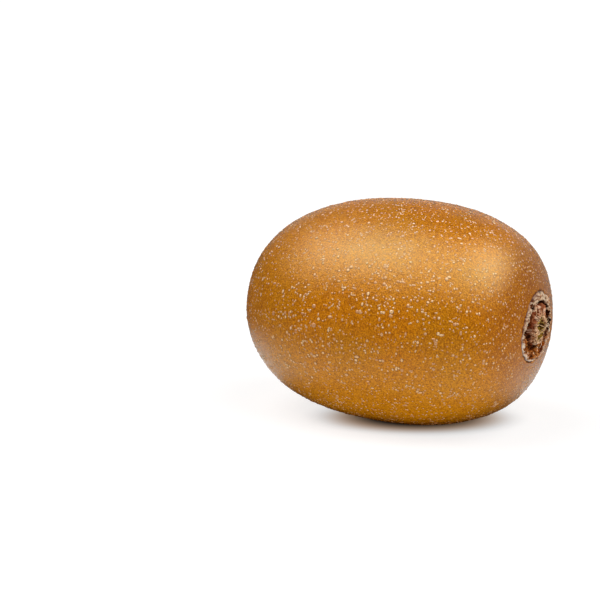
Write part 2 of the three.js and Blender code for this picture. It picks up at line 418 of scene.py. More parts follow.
def skin_material():
    """Satin golden-brown skin: mottled, finely pebbled, browner near the stem."""
    s = Shading("kiwi_skin")
    colour = s.mix(s.ramp(s.noise(CLOUD_SIZE, 3), 0.35, 0.7), GOLD, OLIVE)
    height = s.new("ShaderNodeSeparateXYZ", {0: s.place}).node.outputs[2]
    colour = s.mix(s.ramp(height, *YELLOW_LEVELS, 0.0, 0.85), colour, YELLOW)
    blotches = s.ramp(s.noise(BLOTCH_SIZE, 3, 0.6), 0.45, 0.75, 0, 0.35)
    colour = s.mix(blotches, colour, RUSSET)
    stem_clouds = s.ramp(s.noise(STEM_CLOUD_SIZE, 3), 0.2, 0.7, 0.6, 1.0)
    colour = s.mix(s.math("MULTIPLY", s.value("stem_end"), stem_clouds), colour, STEM_BROWN)
    grain = s.noise(GRAIN_SIZE, 2, 0.6)
    colour = s.mix(s.ramp(grain, 0.5, 0.65, 0.0, 0.85), colour, FRECKLE)
    colour = s.mix(s.ramp(grain, 0.5, 0.35, 0.0, 0.7), colour, GLINT)
    specks = s.specks(SPECK_SPACING, SPECK_REACH, SPECK_EDGE)
    colour = s.mix(s.math("MULTIPLY", specks, 0.7), colour, SPECK)
    surface = s.bump(s.noise(PEBBLE_SIZE, 2, 0.6), PEBBLE_HEIGHT)
    surface = s.bump(specks, SPECK_HEIGHT, below=surface)
    surface = s.bump(s.noise(RIPPLE_SIZE, 2), RIPPLE_HEIGHT, below=surface)
    gloss = s.ramp(s.noise(GLOSS_SIZE, 2), 0.3, 0.7, *SKIN_ROUGHNESS)
    return s.finish(
        Base_Color=colour, Roughness=gloss, Normal=surface, Specular_IOR_Level=0.5, Specular_Tint=WAX
    )


def dot_material():
    """Corky dots, each of its own tone: pale at the crown, some with a dark middle, dark at the foot:
    partly their brown ring, partly painted shade where they meet the skin.
    """
    s = Shading("corky_dots")
    crown, tone = s.value("crown"), s.value("tone")
    # dark at each dot's foot: partly its own brown ring, partly painted shade
    colour = s.mix(s.ramp(crown, 0.25, 0.7), DOT_RIM, DOT_CROWN)
    dark_middle = s.math("MULTIPLY", s.ramp(crown, 0.9, 1.0), s.ramp(tone, 0.5, 0.8))
    colour = s.mix(s.math("MULTIPLY", dark_middle, 0.8), colour, DOT_RIM)
    colour = s.mix(s.ramp(tone, 0.15, 1, 0, 0.8), colour, DOT_BROWN)
    return s.finish(
        Base_Color=colour, Roughness=DOT_ROUGHNESS, Specular_IOR_Level=1.0, Specular_Tint=DOT_SHEEN
    )


def scar_material():
    """Dry cork, shreds and pith in the colours stored at the points."""
    s = Shading("dry_scar")
    grain = s.noise(CORK_GRAIN_SIZE, 3, 0.65)
    colour = s.mix(s.ramp(grain, 0.35, 0.75, 0.0, 0.5), s.value("tint", "Color"), UMBER)
    surface = s.bump(grain, CORK_GRAIN_HEIGHT)
    return s.finish(
        Base_Color=colour, Roughness=CORK_ROUGHNESS, Normal=surface, Specular_IOR_Level=0.0
    )


# ---- The skin ----
SKIN_SIDES = 300
SKIN_NUB_RINGS = 26
SKIN_FLANK_RINGS = 210
SKIN_SCAR_RINGS = 34
SCAR_REACH = 9.4
BED_DEPTH = 2.6  # the skin is sunk by this much under the scar
BED_EDGE = (-0.45, 0.25)  # from the first to the second distance inside the ring's foot
STEM_BROWN_STATIONS = (0.8, 0.99)  # from golden to brown


def skin_stations():
    """Stations of the rings: even steps of radius on the caps, even turns between."""
    nub = station_of(np.linspace(0, NUB_REACH, SKIN_NUB_RINGS, endpoint=False)[1:], -1)
    scar = station_of(np.linspace(SCAR_REACH, 0, SKIN_SCAR_RINGS, endpoint=False), 1)[1:]
    start = math.asin(float(station_of(NUB_REACH, -1)))
    end = math.asin(float(station_of(SCAR_REACH, 1)))
    flank = np.sin(np.linspace(start, end, SKIN_FLANK_RINGS))
    return np.concatenate((nub, flank, scar))


def make_skin(material):
    """The skin over the whole body, with a bed for the scar's own piece."""
    along = skin_stations()
    turn = np.linspace(0, TAU, SKIN_SIDES, endpoint=False)
    t, angle = np.meshgrid(along, turn, indexing="ij")
    radius = barrel_radius(t)
    foot, _ = scar_foot(radius, angle)
    bed = -BED_DEPTH * step(*BED_EDGE, foot - radius)
    relief = np.where(t > 0, bed, blossom_relief(radius, angle))
    points = fruit_point(t, angle, relief)
    points += fruit_normal(t, angle) * (dimples(points) * step(0.0, 2.0, radius))[..., None]
    blossom_pole = fruit_point(np.array(-1.0), np.array(0.0), blossom_relief(0.0, 0.0))
    stem_pole = fruit_point(np.array(1.0), np.array(0.0), -BED_DEPTH)
    points = lay_down(np.concatenate((blossom_pole[None], points.reshape(-1, 3), stem_pole[None])))
    points[:, 2] = np.maximum(points[:, 2], 0.0)
    stem_end = step(*STEM_BROWN_STATIONS, t)
    values = {"stem_end": np.concatenate(([0.0], stem_end.ravel(), [1.0]))}
    skin = new_piece("kiwi_skin", points, closed_faces(len(along), SKIN_SIDES), material, values)
    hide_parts("kiwi_fruit")


# ---- The corky dots ----
FINE_DOT_COUNT = 5600
MEDIUM_DOT_COUNT = 2600
FINE_DOT_RADIUS = 0.18
MEDIUM_DOT_RADIUS = 0.275
DOT_SPREAD = 0.28  # of the radius, from dot to dot
DOT_SPACING = 0.6  # no two dots stand closer, but for twins
TWIN_SHARE = 0.3  # of the dots have another one beside them
TWIN_REACH = 1.7  # radii from one twin to the other
TWIN_SIZES = (0.7, 1.1)
DOT_ENDS = (-0.9995, 0.9955)  # stations
DOT_MARGIN = 0.4  # no dot stands nearer to the scar
COARSE_PATCH = np.array((12.0, -26.0, -1.0))  # the medium dots are largest round here
COARSE_MEASURE = np.array((0.45, 1.0, 1.0))
FADE_REACH = (9.0, 23.0)  # and shrink from the first to the second distance away
DOT_FADE = 0.36
DOT_SQUEEZE = 0.15  # how oval the dots are
SQUEEZE_LIMITS = (0.7, 1.5)
DOT_WOBBLE = 0.05  # how uneven their rims are
LARGE_DOT_HEIGHT = 0.42  # as a share of the radius
DOT_HEIGHT = 0.34
FINE_DOME = (6, ((1.15, -0.15), (0.95, 0.4), (0.58, 0.9)))  # sides, and rings of a radius and height
ROUND_DOME = (9, ((1.12, -0.12), (0.97, 0.24), (0.7, 0.68), (0.34, 0.93)))


def large_dot_places():
    """The solid's larger dots: station, angle and radius."""
    state = LARGE_DOT_SEED

    def draw():
        nonlocal state
        state = (state * 1664525 + 1013904223) % 2**32
        return state / 2**32

    golden = math.pi * (3 - math.sqrt(5))
    places = []
    for i in range(LARGE_DOT_COUNT):
        t = DOT_REACH * (-1 + 2 * (i + 0.5) / LARGE_DOT_COUNT) + 0.015 * (draw() - 0.5)
        angle = i * golden + 0.12 * (draw() - 0.5)
        places.append((t, angle, LARGE_DOT_RADIUS * (0.75 + 0.5 * draw())))
    return np.array(places)


def cell_of(point):
    """The cell, as wide as the spacing, that a point lies in."""
    return np.floor(point / DOT_SPACING).astype(int)


class Crowd:
    """Points on the skin, kept by their cells."""

    def __init__(self, points):
        self.cells = {}
        for point in points:
            self.add(point)

    def add(self, point):
        """Take a point in."""
        self.cells.setdefault(tuple(cell_of(point)), []).append(point)

    def is_near(self, point):
        """Whether a place is too near to a point of the crowd."""
        for offset in itertools.product((-1, 0, 1), repeat=3):
            for other in self.cells.get(tuple(cell_of(point) + offset), ()):
                if np.linalg.norm(other - point) < DOT_SPACING:
                    return True
        return False


def even_stations():
    """Many stations, and the share of the skin's area before each."""
    along = np.linspace(*DOT_ENDS, 4000)
    ring = fruit_point(along, np.zeros_like(along))
    strip = np.linalg.norm(np.diff(ring, axis=0), axis=1) * barrel_radius((along[1:] + along[:-1]) / 2)
    area = np.concatenate(([0.0], np.cumsum(strip)))
    return along, area / area[-1]


def scattered_places(count, radius, crowd, random):
    """Dots spread evenly and clear of a crowd: station, angle and radius."""
    along, area = even_stations()
    places = []
    while len(places) < count:
        t = float(np.interp(random.random(), area, along))
        angle = TAU * random.random()
        point = fruit_point(np.array(t), np.array(angle))
        if crowd.is_near(point):
            continue
        crowd.add(point)
        size = radius * random.lognormal(0.0, DOT_SPREAD)
        places.append((t, angle, size))
        while random.random() < TWIN_SHARE:
            turn = TAU * random.random()
            t_reach = TWIN_REACH * size / HALF_LENGTH
            angle_reach = TWIN_REACH * size / float(barrel_radius(t))
            t = float(np.clip(t + t_reach * math.cos(turn), *DOT_ENDS))
            angle += angle_reach * math.sin(turn)
            size *= random.uniform(*TWIN_SIZES)
            places.append((t, angle, size))
    return np.array(places)


def dome(sides, rings):
    """A dome's points, 1 wide and 1 high, faces, and nearness to its crown."""
    turn = np.arange(sides) / sides * TAU
    points = [(r * math.cos(a), r * math.sin(a), h) for r, h in rings for a in turn]
    points.append((0.0, 0.0, 1.0))
    faces = ring_faces(len(rings), sides)
    faces += fan_faces(len(rings) * sides, (len(rings) - 1) * sides, sides)
    crown = np.array([max(0.0, h) for _, h in rings for _ in turn] + [1.0])
    return np.array(points), faces, crown


def fading(places):
    """Dots made smaller the farther they are from the coarsest ones."""
    away = (fruit_point(places[:, 0], places[:, 1]) - COARSE_PATCH) * COARSE_MEASURE
    places[:, 2] *= 1 - DOT_FADE * step(*FADE_REACH, np.linalg.norm(away, axis=1))
    return places


def rooted(places):
    """The dots clear of the scar and the table, and each one's foot and normal."""
    t, angle, _ = places.T
    foot = fruit_point(t, angle)
    normal = fruit_normal(t, angle)
    foot += normal * dimples(foot)[:, None]
    above = lay_down(foot)[:, 2] >= DOT_CLEARANCE
    outside = barrel_radius(t) > scar_foot(barrel_radius(t), angle)[0] + DOT_MARGIN
    kept = above & ((t < 0) | outside)
    return places[kept], foot[kept], normal[kept]


def make_dots(name, places, shape, height, material, random):
    """One mesh of low domes that stand on the skin."""
    template, template_faces, crown = shape
    places, foot, normal = rooted(places)
    size = places[:, 2][:, None]
    side = np.cross(normal, (1.0, 0.0, 0.0))
    side /= np.linalg.norm(side, axis=1, keepdims=True)
    other = np.cross(normal, side)
    count = len(places)
    squeeze = np.clip(1 + DOT_SQUEEZE * random.standard_normal((count, 1)), *SQUEEZE_LIMITS)
    wobble = 1 + DOT_WOBBLE * random.standard_normal((count, len(template)))
    across = (template[:, 0] * wobble * size * squeeze)[..., None]
    along = (template[:, 1] * wobble * size / squeeze)[..., None]
    up = (template[:, 2] * size * height)[..., None]
    points = foot[:, None] + across * side[:, None] + along * other[:, None] + up * normal[:, None]
    starts = range(0, count * len(template), len(template))
    faces = [tuple(start + corner for corner in face) for start in starts for face in template_faces]
    tone = np.repeat(random.random(count), len(template))
    new_piece(name, lay_down(points), faces, material, {"crown": np.tile(crown, count), "tone": tone})


def make_all_dots():
    """The solid's larger dots, with medium and fine ones between them."""
    random = np.random.default_rng(11)
    material = dot_material()
    fine_dome, round_dome = dome(*FINE_DOME), dome(*ROUND_DOME)
    large = large_dot_places()
    crowd = Crowd(fruit_point(large[:, 0], large[:, 1]))
    medium = scattered_places(MEDIUM_DOT_COUNT, MEDIUM_DOT_RADIUS, crowd, random)
    fine = scattered_places(FINE_DOT_COUNT, FINE_DOT_RADIUS, crowd, random)
    make_dots("large_dots", large, round_dome, LARGE_DOT_HEIGHT, material, random)
    make_dots("medium_dots", fading(medium), round_dome, DOT_HEIGHT, material, random)
    make_dots("fine_dots", fine, fine_dome, DOT_HEIGHT, material, random)


# ---- The stem scar ----
PLUG_SIDES = 480
PLUG_RINGS = 120
PLUG_REACH = 9.8  # the scar's piece ends here, just under the skin
PLUG_EDGE = 0.25  # over this width it comes up to the skin's surface
PLUG_SINK = 0.35  # from this far under it
PLUG_PROUD = 0.012  # and lies over it by this much
PLUG_DEPTH = 6.5  # its hidden back narrows to a point this deep, below every gap
PITH_MIDDLE = (1.4, -1.35)
SCAR_NOISE = ((2.2, 5.0), (0.9, 11.0), (0.35, 17.0))  # coarse, medium and fine: size and offset
CREVICE_WIDTH = 0.22  # as a share of a crumb's size
CORK_SIZE = 0.95  # of the crumbs of each stuff
GRIT_SIZE = 0.38
SHRED_SIZE = 0.55
PITH_SIZE = 0.5

# Sides of the scar: a direction in degrees, from +Y towards +Z, and how far to both sides it reaches
THIN_SIDE = (262, 105)  # only a thin lip stands there
CRACKED_SIDE = (205, 75)  # a crack parts the lip from the skin
FIBROUS_SIDE = math.radians(288)
TORN_SIDE = (20, 75)  # the gap is deepest
CREST_SIDE = (62, 65)  # the calyx stands up at its edge
LOW_SIDES = ((225, 60), (0, 55))  # and lies low there
FILLED_SIDE = (225, 75)  # rubble fills the gap
SHALLOW_SIDE = (75, 65)
PITTED_SIDE = (205, 85)
RED_SIDE = (175, 60)
LEFT_SIDE = (178, 65)  # the gap's painted shade lies farther in
RIGHT_SIDE = (15, 70)  # farther out
WALL_SIDE = (345, 50)  # and up the ring's inner wall

# Heights and depths of its broken surface
CORK_LUMP = 0.4
GRIT_LUMP = 0.14
CORK_CREVICE = 0.18
LOST_CRUMB = 0.9
LIP_CREST = 0.2
BEHIND_LIP = 0.3
GAP_DEPTH = 0.8
GAP_FLOOR = -1.7  # no gap is deeper
CALYX_CREST = 0.7
LOW_EDGE = 0.4
SHRED_LUMP = 0.34
SHRED_CREVICE = 0.22
SHRED_WAVE = 0.25
PITH_LUMP = 0.5
PITH_CREVICE = 0.35
PITH_WAVE = 0.3
CRACK_DEPTH = 0.4
PIT_DEPTH = 0.25
HOLLOW_REACH = (6, 9)  # rings and columns that a hollow is measured over

CORK_PALE = srgb(253, 228, 194)
CORK_TAN = srgb(222, 166, 122)
CORK_BROWN = srgb(132, 76, 42)
LIP_PALE = srgb(252, 236, 220)
SHRED_PALE = srgb(255, 214, 178)
SHRED_PINK = srgb(206, 128, 86)
SHRED_BROWN = srgb(122, 54, 28)
FIBRE_TAN = srgb(246, 204, 156)
FIBRE_BROWN = srgb(150, 90, 48)
PITH_OLIVE = srgb(158, 122, 44)
PITH_YELLOW = srgb(220, 180, 96)
PITH_DARK = srgb(40, 30, 10)
RUST = srgb(186, 96, 28)
RUST_PALE = srgb(222, 150, 84)
UMBER = srgb(88, 36, 10)
# Painted shade: the near black put into the gap, the deepest hollows, the pits and the holes among the
# rubble
SHADE_BLACK = srgb(14, 6, 3)


def crumble(across, up, size, random):
    """Crumbs on a plane: each point's height on a dome, crevice and crumb's tone."""
    spots = round((2 * PLUG_REACH / size) ** 2)
    middles = random.uniform(-PLUG_REACH, PLUG_REACH, (spots, 2))
    tones = random.random(spots)
    tree = KDTree(spots)
    for number, (y, z) in enumerate(middles):
        tree.insert((y, z, 0.0), number)
    tree.balance()
    found = [tree.find_n((y, z, 0.0), 2) for y, z in zip(across.ravel(), up.ravel())]
    near = np.array([pair[0][2] for pair in found]).reshape(across.shape)
    gap = np.array([pair[1][2] - pair[0][2] for pair in found]).reshape(across.shape)
    return SimpleNamespace(
        dome=np.clip(1 - (near / size) ** 2, 0, 1),
        crevice=step(CREVICE_WIDTH * size, 0.0, gap),
        tone=tones[[pair[0][1] for pair in found]].reshape(across.shape),
    )


def paint(base, colour, share):
    """Colours at points, moved by a share towards others."""
    share = np.clip(share, 0.0, 1.0)[..., None]
    return base * (1 - share) + np.asarray(colour)[..., :3] * share


def near_angle(angle, side):
    """1 in the middle of a side of the scar, 0 outside it."""
    middle, half_width = side
    turned = np.degrees(angle) - middle
    return hump((turned + 180) % 360 - 180, half_width)


def blurred(grid, rows, columns):
    """Numbers averaged over some rings and columns to both sides."""
    wide = sum(np.roll(grid, shift, axis=1) for shift in range(-columns, columns + 1))
    tall = np.pad(wide, ((rows, rows), (0, 0)), mode="edge")
    total = sum(tall[row : row + len(grid)] for row in range(2 * rows + 1))
    return total / (2 * rows + 1) / (2 * columns + 1)


def pith_distance(y, z):
    """Distance from the middle of the pith, measured along its upright oval."""
    return np.hypot(y - PITH_MIDDLE[0], (z - PITH_MIDDLE[1]) * 0.62)


def scar_grid(random):
    """The scar's rings of points, with the noise and crumbs at each."""
    ring = np.linspace(0, PLUG_REACH, PLUG_RINGS + 1)[1:]
    turn = np.linspace(0, TAU, PLUG_SIDES, endpoint=False)
    g = SimpleNamespace()
    g.radius, g.angle = np.meshgrid(ring, turn, indexing="ij")
    g.y, g.z = g.radius * np.cos(g.angle), g.radius * np.sin(g.angle)
    g.out, g.around = heart_polar(g.radius, g.angle)
    flat = np.stack((np.zeros_like(g.y), g.y, g.z), axis=-1)
    g.coarse, g.medium, g.fine = (rough(flat, size, 3, offset) for size, offset in SCAR_NOISE)
    g.cork = crumble(g.y, g.z, CORK_SIZE, random)
    g.grit = crumble(g.y, g.z, GRIT_SIZE, random)
    g.shred = crumble(2.4 * g.around, 0.5 * g.out, SHRED_SIZE, random)
    g.crumb = crumble(g.y * 0.6 + g.z * 0.5, g.z * 0.8 - g.y * 0.5, PITH_SIZE, random)
    return g


def add_zones(g):
    """Where each stuff and each break of the scar lies, as shares of 1."""
    foot, _ = scar_foot(g.radius, g.angle)
    ragged = 0.12 * g.coarse + 0.4 * g.medium + 0.12 * g.fine
    g.inwards = foot + 0.25 * g.coarse + 0.25 * g.medium - g.radius  # mm from the ring's ragged foot
    g.channel = groove_radius(g.around) + ragged  # radius of the ragged gap
    g.thin = np.clip(near_angle(g.angle, THIN_SIDE) * 1.7, 0, 1)
    cracked = np.clip(0.3 + near_angle(g.angle, CRACKED_SIDE), 0, 1)
    start = 0.22 * g.thin - 0.3 * cracked
    g.dry = step(start - 0.08, start + 0.1, g.inwards)
    g.crack = hump(g.inwards - start - 0.12, 0.3) * cracked
    g.inner = step(g.channel + 0.15, g.channel - 0.15, g.out)
    g.band = g.dry * (1 - g.inner)
    g.behind_lip = g.thin * step(0.4, 0.75, g.inwards + 0.2 * g.medium)
    g.missing = step(0.79, 0.82, g.cork.tone + 0.1 * g.thin)
    lower = step(-0.2, 0.5, np.cos(g.around - FIBROUS_SIDE) + 0.3 * g.coarse)
    g.fibrous = g.inner * lower * step(4.9, 4.1, g.out + ragged)
    g.stalk_rim = hump(g.out + 0.3 * ragged - STALK_RADIUS, 0.55)
    g.pith = step(1.95, 1.6, pith_distance(g.y, g.z) + 0.4 * ragged)
    torn = 0.75 + 0.35 * np.sin(2 * g.around + 0.6) + 0.5 * g.coarse
    g.torn = np.clip(torn + 0.7 * near_angle(g.around, TORN_SIDE), 0.0, 1.1)
    g.filled = near_angle(g.around, FILLED_SIDE) * step(-0.3, 0.3, g.out - g.channel + 0.6)
    g.pits = step(0.06, 0.22, -g.fine) * hump(g.out - g.channel + 0.2, 1.0)
    g.pits *= near_angle(g.around, PITTED_SIDE)


def add_relief(g):
    """The height of the broken surface, and how hollow it is at each point."""
    lumps = CORK_LUMP * (g.cork.dome - 0.6) * (0.4 + g.cork.tone) + GRIT_LUMP * (g.grit.dome - 0.5)
    lumps -= CORK_CREVICE * g.cork.crevice + LOST_CRUMB * g.missing * g.cork.dome
    relief = scar_relief(g.radius, g.angle)
    relief += g.band * step(0.1, 0.5, g.inwards) * lumps
    relief += LIP_CREST * g.band * g.thin * hump(g.inwards - 0.5, 0.3)
    relief -= BEHIND_LIP * g.band * g.behind_lip
    relief -= GAP_DEPTH * g.torn * hump(g.out - g.channel - 0.05, 0.5)
    relief += CALYX_CREST * near_angle(g.around, CREST_SIDE) * hump(g.out - g.channel + 0.6, 0.55)
    shreds = SHRED_LUMP * (g.shred.dome - 0.5) * (0.3 + g.shred.tone)
    shreds += SHRED_WAVE * g.medium - SHRED_CREVICE * g.shred.crevice
    relief += g.inner * (1 - g.pith) * shreds
    crumbs = PITH_LUMP * (g.crumb.dome - 0.5) - PITH_CREVICE * g.crumb.crevice + PITH_WAVE * g.medium
    relief += g.pith * crumbs + 0.06 * g.dry * g.fine
    low = LOW_EDGE * sum(near_angle(g.around, side) for side in LOW_SIDES)
    relief -= low * g.inner * step(g.channel - 1.7, g.channel - 0.6, g.out)
    rubble = 0.5 * (g.grit.dome - 0.5) + 0.5 * (g.cork.dome - 0.5) + 0.4 * g.medium
    floor = GAP_FLOOR + g.filled * (0.8 + 1.3 * rubble) + near_angle(g.around, SHALLOW_SIDE)
    relief = np.maximum(relief, floor)
    relief = np.where(g.inwards > 0, relief, 0.1 * step(-1.8, 0.0, g.inwards))
    g.relief = relief - CRACK_DEPTH * g.crack - PIT_DEPTH * g.pits
    g.hollow = blurred(g.relief, *HOLLOW_REACH) - g.relief


def all_over(g, colour):
    """One colour at all points of the grid."""
    return np.tile(colour[:3], (*g.radius.shape, 1))


def cork_colours(g):
    """The ring's pale and brown crumbs, rusty behind the thin lip and in the gap, with painted shade in
    crevices, in holes and among the rubble.
    """
    cork = paint(all_over(g, CORK_PALE), CORK_TAN, step(0.15, 0.6, 0.6 * g.cork.tone + 0.4 * g.grit.tone))
    darker = 0.9 * step(0.55, 0.9, g.grit.tone) + 0.5 * step(0.1, 0.5, g.coarse)
    # some crumbs darker at random; the grit's crevices darker by painted shade
    cork = paint(cork, CORK_BROWN, darker + 0.5 * g.grit.crevice)
    # painted shade in the crumbs' crevices and in the holes of lost crumbs
    cork = paint(cork, UMBER, 0.7 * g.cork.crevice * step(0.1, -0.3, g.medium) + g.missing)
    rusty = paint(all_over(g, RUST), RUST_PALE, step(0.6, 0.8, 0.5 * g.grit.tone + 0.5 * g.cork.tone))
    # the rubble darker at random, and by painted shade in the grit's crevices
    rusty = paint(rusty, UMBER, step(0.5, 0.2, g.cork.tone) + 0.9 * g.grit.crevice)
    # painted shade: black patches for holes among the rubble
    rusty = paint(rusty, SHADE_BLACK, 0.8 * step(0.2, 0.5, -g.medium))
    cork = paint(cork, rusty, np.maximum(g.behind_lip, g.filled))
    return paint(cork, LIP_PALE, hump(g.inwards - 0.36, 0.36) * (0.2 + 1.3 * g.thin))


def calyx_colours(g):
    """The calyx's pink shreds and tan fibres, and the olive pith in the middle, with painted shade in
    their crevices and a painted highlight on some shreds' crowns.
    """
    worn = step(0.4, 0.1, g.shred.tone)
    # some shreds paler, on their crowns: partly their own paler tone, partly a painted highlight
    pale = step(0.6, 0.9, g.shred.tone) * step(0.2, 0.7, g.shred.dome)
    reddish = 0.35 * step(0.2, -0.6, np.sin(g.around - 0.4)) + 0.6 * near_angle(g.around, RED_SIDE)
    shred = paint(all_over(g, SHRED_PINK), SHRED_PALE, pale)
    # shreds browner at random and on the reddish sides, and darker in their crevices by painted shade
    shred = paint(shred, SHRED_BROWN, 0.8 * worn + reddish + 0.7 * g.shred.crevice)
    # fibres browner at random, and darker in their crevices by painted shade
    fibre = paint(all_over(g, FIBRE_TAN), FIBRE_BROWN, worn + 0.5 * g.shred.crevice)
    shred = paint(shred, fibre, np.maximum(g.fibrous, g.stalk_rim * g.inner) * (0.9 + g.medium))
    pith = paint(all_over(g, PITH_OLIVE), PITH_YELLOW, step(0.55, 0.8, g.crumb.tone))
    # the pith darker at random and by painted shade in its crevices
    dark = step(0.45, 0.2, g.crumb.tone) + 1.2 * g.crumb.crevice - 0.6 * g.medium
    return paint(shred, paint(pith, PITH_DARK, dark), g.pith)


def painted_gap_shade(g):
    """The painted shade in the torn gap round the calyx: how dark it is."""
    left = near_angle(g.around, LEFT_SIDE)
    aside = 0.05 + 0.15 * near_angle(g.around, RIGHT_SIDE) - 0.45 * left
    aside += 0.5 * near_angle(g.around, WALL_SIDE)
    wide = 0.5 + 0.4 * np.abs(np.cos(g.around - 0.2))
    gap = g.torn * step(0.75, 0.35, np.abs(g.out - g.channel - aside) / wide)
    return gap * (1 + 0.6 * g.fine) * (1 - 0.35 * g.filled) * (1 - left * (0.4 + 0.9 * g.medium))


def scar_colours(g):
    """The colours of the whole scar, with painted shade in its gap, hollows, pits and crack, and painted
    highlights on its crests.
    """
    tint = paint(cork_colours(g), calyx_colours(g), g.inner)
    # the torn gap's painted shade
    gap = painted_gap_shade(g)
    # painted shade in the gap and in the hollows
    tint = paint(tint, UMBER, 1.3 * gap + 0.8 * step(0.07, 0.2, g.hollow))
    # painted shade, near black, in the deepest hollows and the lowest places
    deep = step(0.16, 0.36, g.hollow) + step(-0.8, -1.3, g.relief)
    tint = paint(tint, SHADE_BLACK, 1.6 * gap - 0.6 + deep)
    # painted shade in the pits
    tint = paint(tint, SHADE_BLACK, 1.2 * g.pits)
    # painted highlights on the crests, but for the gap
    crest_highlight = step(0.1, 0.26, -g.hollow) * 0.7 * (1 - np.clip(1.6 * gap, 0, 1))
    pale = np.maximum(g.band * (1 - g.behind_lip), g.fibrous * (1 - g.pith))
    tint = paint(tint, CORK_PALE, crest_highlight * pale)
    tint = paint(tint, RUST_PALE, crest_highlight * g.band * g.behind_lip)
    # painted shade in the crack that parts the lip from the skin
    return paint(tint, UMBER, 1.3 * g.crack * (1 + 0.5 * g.medium))


def make_scar(skin, dry_scar):
    """The stem scar and the skin right round it, as one piece. Returns its surface."""
    g = scar_grid(np.random.default_rng(23))
    add_zones(g)
    add_relief(g)
    surface = fruit_point(station_of(g.radius, 1), g.angle)
    sink = PLUG_SINK * step(PLUG_REACH - PLUG_EDGE, PLUG_REACH, g.radius)
    surface[..., 0] += g.relief + PLUG_PROUD - sink + dimples(surface) * (1 - g.dry)
    pole = surface[0].mean(axis=0)
    back = np.array((HALF_LENGTH - PLUG_DEPTH, 0.0, 0.0))
    points = lay_down(np.concatenate((pole[None], surface.reshape(-1, 3), back[None])))
    faces = closed_faces(PLUG_RINGS, PLUG_SIDES, flip=True)

    def with_ends(numbers):
        """Numbers at the rings' points, and their means at the two poles."""
        ends = numbers[:1].mean(axis=1), numbers[-1:].mean(axis=1)
        return np.concatenate((ends[0], numbers.reshape(-1, *numbers.shape[2:]), ends[1]))

    values = {"stem_end": np.ones(len(points)), "tint": with_ends(scar_colours(g))}
    piece = new_piece("stem_scar", points, faces, skin, values)
    piece.data.materials.append(dry_scar)
    dry = with_ends(g.dry) > 0.5
    piece.data.polygons.foreach_set("material_index", [int(dry[list(face)].all()) for face in faces])
    return surface


# ---- Loose and dried bits ----
FIBRES = (  # across, up, direction, length, thickness, height over the pith
    (2.1, 0.7, -29, 4.2, 0.11, 0.3),
    (0.9, -0.6, -14, 2.2, 0.1, 0.2),
    (2.3, -2.0, 22, 3.9, 0.09, 0.3),
    (2.9, -1.5, 26, 2.6, 0.08, 0.35),
    (2.6, -1.5, -36, 3.0, 0.09, 0.3),
    (1.2, -3.9, 10, 3.3, 0.1, 0.2),
)
SHRED_COUNT = 46
SHRED_STARTS = (2.2, 4.2)
SHRED_LENGTHS = (0.6, 1.5)
SHRED_WIDTHS = (0.1, 0.2)
SHRED_TONES = (SHRED_PALE, SHRED_PINK, SHRED_BROWN, FIBRE_TAN, UMBER)
CHIP_COUNT = 70
CHIP_SIZES = (0.16, 0.42)
CHIP_TIP = 45.0  # degrees
CHIP_TONES = (CORK_PALE, CORK_PALE, CORK_TAN, CORK_TAN, CORK_BROWN)
PALE_GRAIN = (0.8, -7.2, 0.42)  # across, up and size
STYLE_TURN = 2.4  # from one dried style round to the next
STYLE_ROOT = -0.4  # each one starts below the surface
STYLE_STEPS = 14
STYLE_TONES = (SHRED_BROWN, UMBER, FIBRE_BROWN)
BIT_SIDES = 6
OUTWARDS = (1.0, 0.0, 0.0)


def strand(line, thickness, reference, flat):
    """A flattened tube's points and faces along a line."""
    tangent = np.gradient(line, axis=0)
    tangent /= np.linalg.norm(tangent, axis=1, keepdims=True)
    side = np.cross(tangent, reference)
    side /= np.linalg.norm(side, axis=1, keepdims=True)
    other = np.cross(side, tangent)
    turn = np.arange(BIT_SIDES) / BIT_SIDES * TAU
    rim = np.cos(turn)[:, None] * side[:, None] + flat * np.sin(turn)[:, None] * other[:, None]
    points = (line[:, None] + thickness[:, None, None] * rim).reshape(-1, 3)
    return np.concatenate((line[:1], points, line[-1:])), closed_faces(len(line), BIT_SIDES)


def flake(random, size):
    """A thin, angular chip's points and faces, lying across X."""
    turn = (np.arange(BIT_SIDES) + random.uniform(-0.3, 0.3, BIT_SIDES)) / BIT_SIDES * TAU
    reach = size * random.uniform(0.6, 1.1, BIT_SIDES)
    uneven = random.normal(0, 0.12 * size, BIT_SIDES)
    rim = np.stack((uneven, reach * np.cos(turn), reach * np.sin(turn)), axis=-1)
    thick = np.array((0.16 * size, 0.0, 0.0))
    points = np.concatenate(([-thick], rim - thick, rim + thick * 0.4, [thick * 2]))
    return points, closed_faces(2, BIT_SIDES)


def tumbled(points, random):
    """Points turned at random round X and tipped."""
    tip = Matrix.Rotation(math.radians(random.uniform(-CHIP_TIP, CHIP_TIP)), 3, "Y")
    turn = Matrix.Rotation(random.uniform(0, TAU), 3, "X")
    return points @ np.array(turn @ tip).T


def joined(name, bits, material):
    """One piece from many bits, each with its points, faces and colour."""
    points, faces, tints = [], [], []
    first = 0
    for bit, bit_faces, tint in bits:
        points.append(bit)
        faces += [tuple(first + corner for corner in face) for face in bit_faces]
        tints.append(np.tile(tint[:3], (len(bit), 1)))
        first += len(bit)
    new_piece(name, lay_down(np.concatenate(points)), faces, material, {"tint": np.concatenate(tints)})


def on_scar(surface, y, z):
    """The point of the scar's surface grid that is nearest to a place."""
    ring = round(math.hypot(y, z) / PLUG_REACH * PLUG_RINGS) - 1
    side = round(math.atan2(z, y) / TAU * PLUG_SIDES) % PLUG_SIDES
    return surface[max(0, ring), side]


